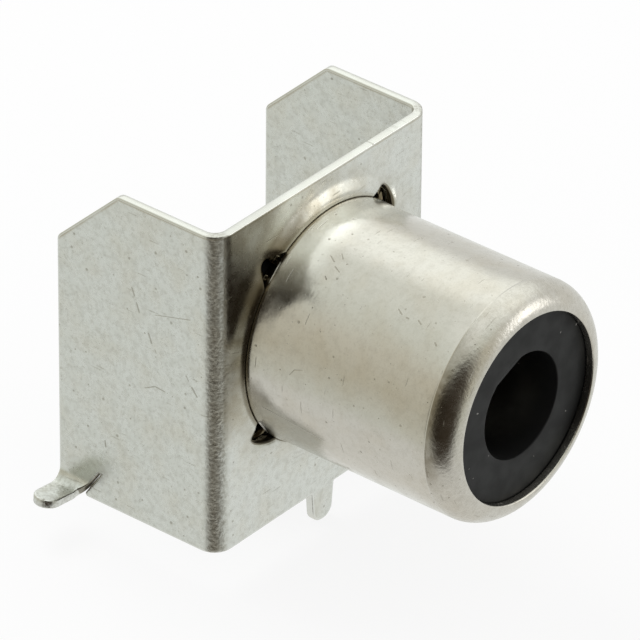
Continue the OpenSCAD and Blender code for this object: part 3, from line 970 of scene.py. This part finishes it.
def bracket_film_and_painted_shade(tree, space, patches):
    """Layers on the bracket: brown film round the collar, darker to the upper left as painted shade, under
    the top edges and along the bends, and painted dark shade in the corner left of the barrel and beside
    the upper left notch."""
    offset = vector(tree, "SUBTRACT", space, AXIS)
    radius = measure(tree, "LENGTH", vector(tree, "MULTIPLY", offset, (1, 0, 1)))
    in_front = ramp(tree, coordinate(tree, space, "Y"), *FRONT_FACE_Y, 1.0, 0.0)
    flat = make_node(tree, "ShaderNodeUVMap", uv_map="flat").outputs[0]
    out = maths(tree, "ABSOLUTE", coordinate(tree, flat, "X"))
    # Brown film round the collar, made darker towards the upper left as painted shade, and under the top
    # edges
    brown = product(
        tree,
        ramp(tree, radius, *COLLAR_FILM_AND_SHADE_R, 0.8, 0.0),
        in_front,
        ramp(tree, measure(tree, "DOT_PRODUCT", offset, UPPER_LEFT), *COLLAR_PAINTED_SHADE_OUT, 0.3, 1.0),
    )
    brown = maths(tree, "MAXIMUM", brown, under_top_edges(tree, out, coordinate(tree, flat, "Y")))
    brown = product(tree, brown, ramp(tree, patches, 0.3, 0.65, 0.5, 1.0))
    from_middle = maths(tree, "SUBTRACT", out, BEND_FILM_MIDDLE)
    bend = ramp(tree, maths(tree, "ABSOLUTE", from_middle), 0.0, BEND_FILM_HALF_W, 0.48, 0.0)
    # Painted shade in the corner between the left bend and the collar
    corner = corner_painted_shade(tree, offset, space, out, patches)
    # Painted shade on the collar beside the upper left notch
    beside = product(
        tree,
        ramp(tree, radius, *NOTCH_SHADE_R, 0.7, 0.0),
        ramp(tree, measure(tree, "DOT_PRODUCT", offset, AT_UPPER_NOTCH), *NOTCH_SHADE_OUT),
        in_front,
    )
    return [(brown, STAIN_AND_PAINTED_SHADE), (bend, STAIN_AND_PAINTED_SHADE), (corner, PAINTED_DARK_BROWN), (beside, PAINTED_DARK_BROWN)]


def rim_grain(tree, space):
    """Where the barrel's grain is raised: on its rolled rim."""
    forward = coordinate(tree, space, "Y")
    return ramp(tree, forward, -RIM_CENTRE_H - 0.12, -RIM_CENTRE_H, 0.3, 0.0)


def bend_grain(tree, space):
    """Where the sheet's grain is raised: on the two upright bends, and less on the side legs."""
    out = maths(tree, "ABSOLUTE", coordinate(tree, space, "X"))
    bends = ramp(tree, out, HALF_FLAT + 0.05, HALF_FLAT + 0.35)
    bends = product(tree, bends, ramp(tree, coordinate(tree, space, "Y"), 0.3, 0.65, 1.0, 0.0))
    legs = ramp(tree, out, PLATE_W / 2, PLATE_W / 2 + 0.2, 0.0, 0.6)
    return maths(tree, "MAXIMUM", bends, legs)


def moulded_plastic(name, colour, pale):
    """Black moulded plastic with a soft sheen, fine texture and a few pale flecks."""
    material, tree, shader, uv, space = start_material(name)
    flecks = specks(tree, uv, 1.3, 0.06, 0.07)
    base = tint(tree, product(tree, flecks, 0.7), colour, pale)
    tree.links.new(base, shader.inputs["Base Color"])
    shader.inputs["Specular IOR Level"].default_value = 0.18
    uneven = ramp(tree, noise(tree, space, 1.5, 4.0), 0.3, 0.7, 0.42, 0.56)
    tree.links.new(uneven, shader.inputs["Roughness"])
    height = maths(tree, "MULTIPLY_ADD", noise(tree, space, 16.0), 0.004, flecks)
    bump = make_node(tree, "ShaderNodeBump", {"Height": height, "Strength": 0.4, "Distance": 0.02 * MM})
    tree.links.new(bump.outputs[0], shader.inputs["Normal"])
    return material


def on_barrel(turn, height):
    """Point on the barrel at a direction in degrees and a height in front of the plate."""
    angle = math.radians(turn)
    return (BARREL_R * math.cos(angle), -height, AXIS_H + BARREL_R * math.sin(angle))


def on_side(y, z):
    """Point on the outside of the left side plate."""
    return (-PLATE_W / 2, y, z)


def placed(place, lines):
    """Lines whose ends, given on a surface, are moved into space by a function."""
    return [(place(*start), place(*end), width) for start, end, width in lines]


# Flecks and scratches on the left side plate, on the barrel and on the contact, and a painted shadow line
# along the lanced cut: ends and width
SIDE_MARKS = placed(on_side, [
    ((3.55, 8.85), (3.45, 8.6), 0.035),
    ((3.36, 8.35), (3.25, 8.05), 0.03),
    ((2.86, 7.4), (2.74, 7.1), 0.035),
    ((2.6, 6.9), (2.55, 6.8), 0.02),
    ((1.05, 6.1), (0.85, 5.85), 0.035),
    ((1.3, 6.45), (1.2, 6.3), 0.02),
    ((3.02, 5.27), (2.6, 5.5), 0.018),
    ((2.6, 5.5), (2.18, 5.47), 0.018),
    ((2.59, 8.22), (1.13, 8.63), 0.014),
    ((4.73, 2.5), (4.7, 2.3), 0.03),
    # Painted shadow line along the lanced cut, where the leg's front edge stands out from the plate
    ((lance_y(LANCE_H) - 0.03, LANCE_H), (lance_y(0.1) - 0.03, 0.1), 0.08),
])
BARREL_MARKS = placed(on_barrel, [
    ((114, 1.6), (116, 1.85), 0.025),
    ((111, 1.9), (113, 2.05), 0.025),
    ((118, 2.0), (119.5, 2.25), 0.022),
    ((124, 1.9), (125, 2.0), 0.022),
    ((124, 4.9), (125.5, 5.1), 0.025),
    ((126, 5.3), (126, 5.4), 0.03),
    ((125, 5.75), (126, 5.9), 0.025),
    ((131, 6.7), (132, 6.8), 0.03),
    ((171, 1.95), (168, 2.1), 0.016),
    ((168, 2.1), (166.5, 2.4), 0.016),
    ((196, 0.75), (200, 3.2), 0.02),
    ((178, 7.5), (192, 7.55), 0.03),
])
CONTACT_MARKS = [((0.2, 3.5, 2.0), (0.1, 3.5, 2.6), 0.03)]

plated_sheet = plated_metal(
    "plated_sheet", SHEET_TIN, 0.23, 1.0, SIDE_MARKS, bracket_film_and_painted_shade, bend_grain
)
plated_barrel = plated_metal(
    "plated_barrel", BARREL_TIN, 0.15, 0.6, BARREL_MARKS, barrel_film_and_painted_light, rim_grain
)
contact_finish = plated_metal("contact_strip", CONTACT_TIN, 0.3, 0.8, CONTACT_MARKS)
black_plastic = moulded_plastic("black_plastic", BLACK, PALE_FLECK)

make_piece("bracket_sheet", *bracket_mesh(), "bracket", "plated_sheet", plated_sheet)
make_piece("barrel_cup", *barrel_mesh(), "barrel", "plated_barrel", plated_barrel)
make_piece("insulator_moulding", *insulator_mesh(), "insulator", "black_plastic", black_plastic)
make_piece("contact_rolled", *contact_mesh(), "centre_contact", "contact_strip", contact_finish)


# The studio that the metal mirrors: its bands from straight below to straight above
STUDIO_BANDS = [
    (0.0, (0.90, 0.90, 0.86)),
    (0.22, (0.90, 0.92, 0.90)),
    (0.30, (0.80, 0.83, 0.77)),
    (0.50, (0.69, 0.67, 0.56)),
    (0.72, (0.80, 0.79, 0.69)),
    (0.88, (0.95, 1.00, 0.94)),
    (1.0, (1.22, 1.26, 1.22)),
]

# Its wall on the right, its soft box and its dark side near the camera, with their soft edges
# as shares of a direction along X, Y, Z or towards the thing itself
RIGHT_WALL = (0.94, 0.96, 0.94)
WALL_EDGE_X = (0.1, 0.6)
SOFT_BOX = (0.6, 0, 0.8)
SOFT_BOX_WHITE = (1.5, 1.56, 1.52)
SOFT_BOX_EDGE = (0.86, 0.99)
SOFT_BOX_EDGE_Y = (-0.85, -0.35)
DARK_SIDE = (-0.8, -0.6, 0)
DARK_BROWN = (0.05, 0.038, 0.025)
DARK_EDGE = (0.52, 0.86)
DARK_BOTTOM_Z = (-0.78, -0.6)
DARK_TOP_Z = (0.68, 0.85)
DIFFUSE_GREY = (0.8, 0.8, 0.8)

# Lamps: how far off they are in metres, then each one's direction, size in metres, power and
# whether the metal mirrors it
LAMP_DISTANCE = 0.3
TOP_LAMP = ((0.1, 0.53, 0.83), 0.16, 0.3, False)
FRONT_LAMP = ((0.64, -0.75, 0.17), 0.12, 0.07, True)

# Floor: half its width in metres, its colour, and how much of its white is glow
FLOOR_HALF_W = 0.6
FLOOR_COLOUR = (0.85, 0.85, 0.85, 1)
FLOOR_GLOW = 0.87

# Camera as solved from the photograph
CAMERA_AZIMUTH = math.radians(-50.723)
CAMERA_ELEVATION = math.radians(32.675)
CAMERA_ROLL = math.radians(0.481)
CAMERA_TARGET = Vector((-0.228, 0, 6.59)) * MM
CAMERA_DISTANCE = 283.075 * MM
CAMERA_LENS = 495.75
CAMERA_SENSOR_W = 36


def make_floor():
    """Plain white floor under the legs, which keeps a soft shadow."""
    size, height = FLOOR_HALF_W, cad_low.z
    corners = [(-size, -size, height), (size, -size, height), (size, size, height), (-size, size, height)]
    mesh = bpy.data.meshes.new("floor")
    mesh.from_pydata(corners, [], [(0, 1, 2, 3)])
    floor = bpy.data.objects.new("floor", mesh)
    bpy.context.scene.collection.objects.link(floor)
    material = bpy.data.materials.new("floor_white")
    material.use_nodes = True
    tree = material.node_tree
    tree.nodes.clear()
    path = make_node(tree, "ShaderNodeLightPath")
    seen = maths(tree, "MAXIMUM", path.outputs["Is Camera Ray"], path.outputs["Is Glossy Ray"])
    seen = maths(tree, "MAXIMUM", seen, path.outputs["Is Transmission Ray"])
    lit = make_node(tree, "ShaderNodeBsdfDiffuse", {"Color": FLOOR_COLOUR})
    glow = make_node(tree, "ShaderNodeEmission", {"Color": (1, 1, 1, 1), "Strength": 1.0})
    inputs = {0: product(tree, seen, FLOOR_GLOW), 1: lit.outputs[0], 2: glow.outputs[0]}
    mix = make_node(tree, "ShaderNodeMixShader", inputs)
    make_node(tree, "ShaderNodeOutputMaterial", {0: mix.outputs[0]})
    mesh.materials.append(material)
    floor.visible_glossy = False


def studio_bands(tree, up):
    """Colour of the studio by height alone."""
    height = maths(tree, "MULTIPLY_ADD", up, 0.5, 0.5)
    bands = make_node(tree, "ShaderNodeValToRGB", {0: height})
    for stop in STUDIO_BANDS[2:]:
        bands.color_ramp.elements.new(stop[0])
    for element, (position, colour) in zip(bands.color_ramp.elements, STUDIO_BANDS):
        element.position = position
        element.color = (*colour, 1)
    return bands.outputs[0]


def mirrored_studio(tree, place):
    """Colour that the metal mirrors in a direction."""
    x, y, z = (coordinate(tree, place, axis) for axis in "XYZ")
    across = vector(tree, "NORMALIZE", vector(tree, "MULTIPLY", place, (1, 0, 1)))
    soft_box = product(
        tree,
        ramp(tree, measure(tree, "DOT_PRODUCT", across, SOFT_BOX), *SOFT_BOX_EDGE),
        ramp(tree, y, *SOFT_BOX_EDGE_Y),
    )
    dark = product(
        tree,
        ramp(tree, measure(tree, "DOT_PRODUCT", place, DARK_SIDE), *DARK_EDGE),
        ramp(tree, z, *DARK_BOTTOM_Z),
        ramp(tree, z, *DARK_TOP_Z, 1.0, 0.0),
    )
    wall = ramp(tree, x, *WALL_EDGE_X)
    layers = [(wall, RIGHT_WALL), (soft_box, SOFT_BOX_WHITE), (dark, DARK_BROWN)]
    return layered(tree, studio_bands(tree, z), layers)


def make_world():
    """White all round to the camera. To the metal it is a pale studio with one dark side."""
    world = bpy.data.worlds.new("studio")
    bpy.context.scene.world = world
    world.use_nodes = True
    tree = world.node_tree
    tree.nodes.clear()
    path = make_node(tree, "ShaderNodeLightPath")
    place = make_node(tree, "ShaderNodeTexCoord").outputs["Generated"]
    mirrored = mirrored_studio(tree, place)
    glossy = tint(tree, path.outputs["Is Glossy Ray"], DIFFUSE_GREY, mirrored)
    seen = maths(tree, "MAXIMUM", path.outputs["Is Camera Ray"], path.outputs["Is Transmission Ray"])
    colour = tint(tree, seen, glossy, (1, 1, 1))
    glow = make_node(tree, "ShaderNodeBackground", {"Color": colour, "Strength": 1.0})
    make_node(tree, "ShaderNodeOutputWorld", {0: glow.outputs[0]})


def make_lamp(name, direction, size, power, in_metal):
    """Square soft lamp that faces the object."""
    light = bpy.data.lights.new(name, "AREA")
    light.size = size
    light.energy = power
    lamp = bpy.data.objects.new(name, light)
    lamp.location = Vector(direction).normalized() * LAMP_DISTANCE
    lamp.rotation_euler = Vector(direction).to_track_quat("Z", "Y").to_euler()
    lamp.visible_glossy = in_metal
    bpy.context.scene.collection.objects.link(lamp)


def make_camera():
    """Long lens at the photograph's viewing angle."""
    back = Vector((
        math.sin(CAMERA_AZIMUTH) * math.cos(CAMERA_ELEVATION),
        -math.cos(CAMERA_AZIMUTH) * math.cos(CAMERA_ELEVATION),
        math.sin(CAMERA_ELEVATION),
    ))
    level = Vector((math.cos(CAMERA_AZIMUTH), math.sin(CAMERA_AZIMUTH), 0))
    upright = back.cross(level)
    right = math.cos(CAMERA_ROLL) * level + math.sin(CAMERA_ROLL) * upright
    up = math.cos(CAMERA_ROLL) * upright - math.sin(CAMERA_ROLL) * level
    camera = bpy.data.objects.new("camera", bpy.data.cameras.new("camera"))
    camera.data.sensor_width = CAMERA_SENSOR_W
    camera.data.lens = CAMERA_LENS
    camera.data.clip_start = 0.01
    camera.data.clip_end = 10
    turn = Matrix((right, up, back)).transposed().to_4x4()
    camera.matrix_world = Matrix.Translation(CAMERA_TARGET + back * CAMERA_DISTANCE) @ turn
    bpy.context.scene.collection.objects.link(camera)
    bpy.context.scene.camera = camera


make_floor()
make_world()
make_lamp("top_lamp", *TOP_LAMP)
make_lamp("front_lamp", *FRONT_LAMP)
make_camera()
bpy.context.scene.view_settings.view_transform = "Standard"
